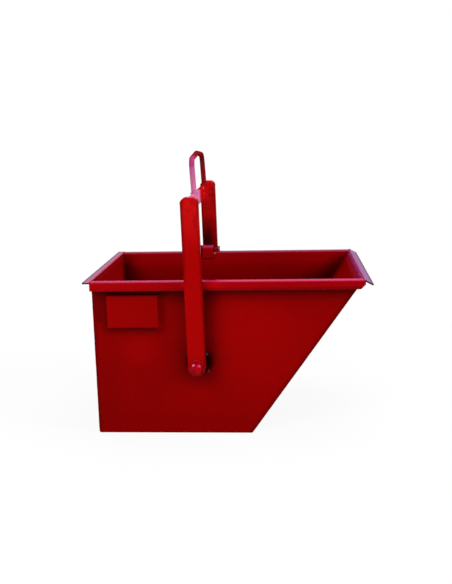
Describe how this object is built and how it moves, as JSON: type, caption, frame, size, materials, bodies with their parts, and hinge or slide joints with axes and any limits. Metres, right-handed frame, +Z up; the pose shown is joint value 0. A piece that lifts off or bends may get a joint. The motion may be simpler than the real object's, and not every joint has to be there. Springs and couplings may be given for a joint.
{
  "type": "hoist bucket",
  "caption": "Tipping hoist bucket: folded sheet-steel bin with a sloped front and pouring lip, hung on side pivots in a swinging bail with a lifting eye and a lock bolt.",
  "frame": {"origin": "middle of the underside of the floor, on the surface that the bucket stands on", "axes": "+X from the rear wall to the pouring lip, +Y from the name plate's side to the lock's side, +Z up"},
  "size_m": [0.8192, 0.7005, 0.8125],
  "materials": {
    "red_paint": "glossy deep red enamel",
    "dark_steel": "dark greased steel",
    "plain_steel": "zinc plated",
    "black_plastic": "moulded, satin"
  },
  "bodies": {
    "bucket": {"wrapper_plate": "red_paint", "near_side_plate": "red_paint", "far_side_plate": "red_paint", "rear_lip": "red_paint", "pour_lip": "red_paint", "name_plate": "red_paint", "lock_keeper": "red_paint", "arm_stop": "red_paint", "near_pivot_doubler": "dark_steel", "far_pivot_doubler": "dark_steel", "near_backing_plate": "red_paint", "far_backing_plate": "red_paint", "near_pivot_sleeve": "plain_steel", "far_pivot_sleeve": "plain_steel", "near_spacer_ring": "dark_steel", "far_spacer_ring": "dark_steel", "near_head_washer": "red_paint", "far_head_washer": "red_paint", "near_nut_washer": "plain_steel", "far_nut_washer": "plain_steel", "near_pivot_bolt": "red_paint", "far_pivot_bolt": "red_paint", "near_pivot_nut": "plain_steel", "far_pivot_nut": "plain_steel"},
    "bail": {"near_arm": "red_paint", "far_arm": "red_paint", "near_arm_foot": "red_paint", "far_arm_foot": "red_paint", "near_arm_crown": "red_paint", "far_arm_crown": "red_paint", "near_arm_bush": "plain_steel", "far_arm_bush": "plain_steel", "crossbar": "red_paint", "lifting_eye": "red_paint", "lock_sleeve": "red_paint", "lock_cap": "plain_steel"},
    "lock": {"lock_bolt": "plain_steel", "lock_knob": "black_plastic"}
  },
  "joints": [
    {"name": "bail_swing", "type": "hinge", "parent": "bucket", "child": "bail", "pos_m": [0.0755, 0, 0.22], "axis": [0, -1, 0], "range_deg": [0, 109]},
    {"name": "lock_slide", "type": "slide", "parent": "bail", "child": "lock", "axis": [0, -1, 0], "range_m": [0, 0.024]}
  ]
}
